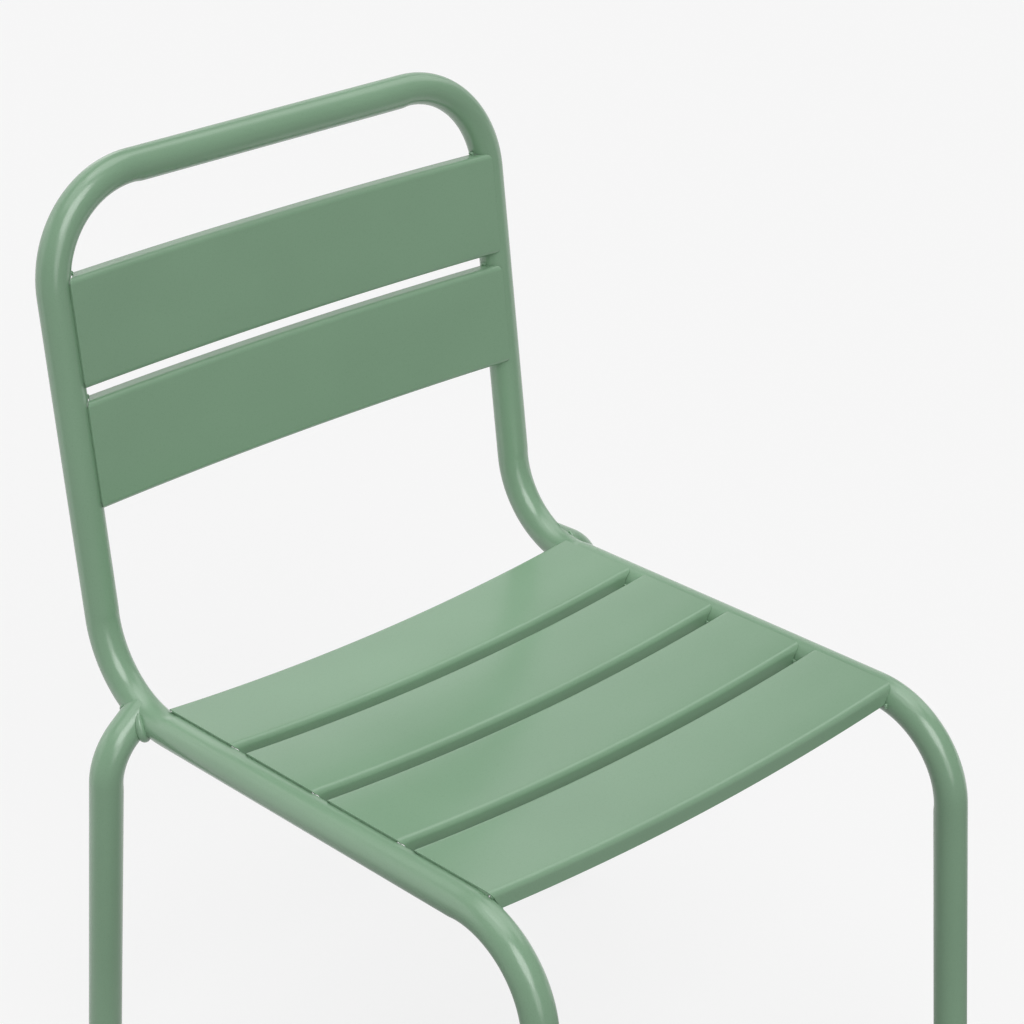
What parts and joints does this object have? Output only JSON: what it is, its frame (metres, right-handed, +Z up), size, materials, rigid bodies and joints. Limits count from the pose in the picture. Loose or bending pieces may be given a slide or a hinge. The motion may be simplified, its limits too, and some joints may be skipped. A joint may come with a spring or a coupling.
{
  "type": "stacking chair",
  "caption": "Armless stacking chair: bent round steel tube frame, bowed sheet-steel slats for seat and back, outboard rear legs, plastic feet.",
  "frame": {"origin": "on the floor, under the centre of the overall footprint", "axes": "+X to the right of someone who faces the front of the chair, +Y from the front of the seat to the back, +Z up"},
  "size_m": [0.575, 0.6082, 0.8313],
  "materials": {
    "powder_coat": "satin sage green powder coat over welded steel",
    "foot_plastic": "moulded polyethylene, fine matt"
  },
  "bodies": {
    "root": {"frame_tube": "powder_coat", "rear_leg_left": "powder_coat", "rear_leg_right": "powder_coat", "seat_slat_1": "powder_coat", "seat_slat_2": "powder_coat", "seat_slat_3": "powder_coat", "seat_slat_4": "powder_coat", "back_slat_upper": "powder_coat", "back_slat_lower": "powder_coat", "rear_leg_weld_rear_left": "powder_coat", "rear_leg_weld_front_left": "powder_coat", "rear_leg_weld_rear_right": "powder_coat", "rear_leg_weld_front_right": "powder_coat", "seat_slat_1_weld_left_a": "powder_coat", "seat_slat_1_weld_left_b": "powder_coat", "seat_slat_1_weld_right_a": "powder_coat", "seat_slat_1_weld_right_b": "powder_coat", "seat_slat_2_weld_left_a": "powder_coat", "seat_slat_2_weld_left_b": "powder_coat", "seat_slat_2_weld_right_a": "powder_coat", "seat_slat_2_weld_right_b": "powder_coat", "seat_slat_3_weld_left_a": "powder_coat", "seat_slat_3_weld_left_b": "powder_coat", "seat_slat_3_weld_right_a": "powder_coat", "seat_slat_3_weld_right_b": "powder_coat", "seat_slat_4_weld_left_a": "powder_coat", "seat_slat_4_weld_left_b": "powder_coat", "seat_slat_4_weld_right_a": "powder_coat", "seat_slat_4_weld_right_b": "powder_coat", "back_slat_upper_weld_left_a": "powder_coat", "back_slat_upper_weld_left_b": "powder_coat", "back_slat_upper_weld_right_a": "powder_coat", "back_slat_upper_weld_right_b": "powder_coat", "back_slat_lower_weld_left_a": "powder_coat", "back_slat_lower_weld_left_b": "powder_coat", "back_slat_lower_weld_right_a": "powder_coat", "back_slat_lower_weld_right_b": "powder_coat", "foot_front_left": "foot_plastic", "foot_front_right": "foot_plastic", "foot_rear_left": "foot_plastic", "foot_rear_right": "foot_plastic"}
  },
  "joints": []
}
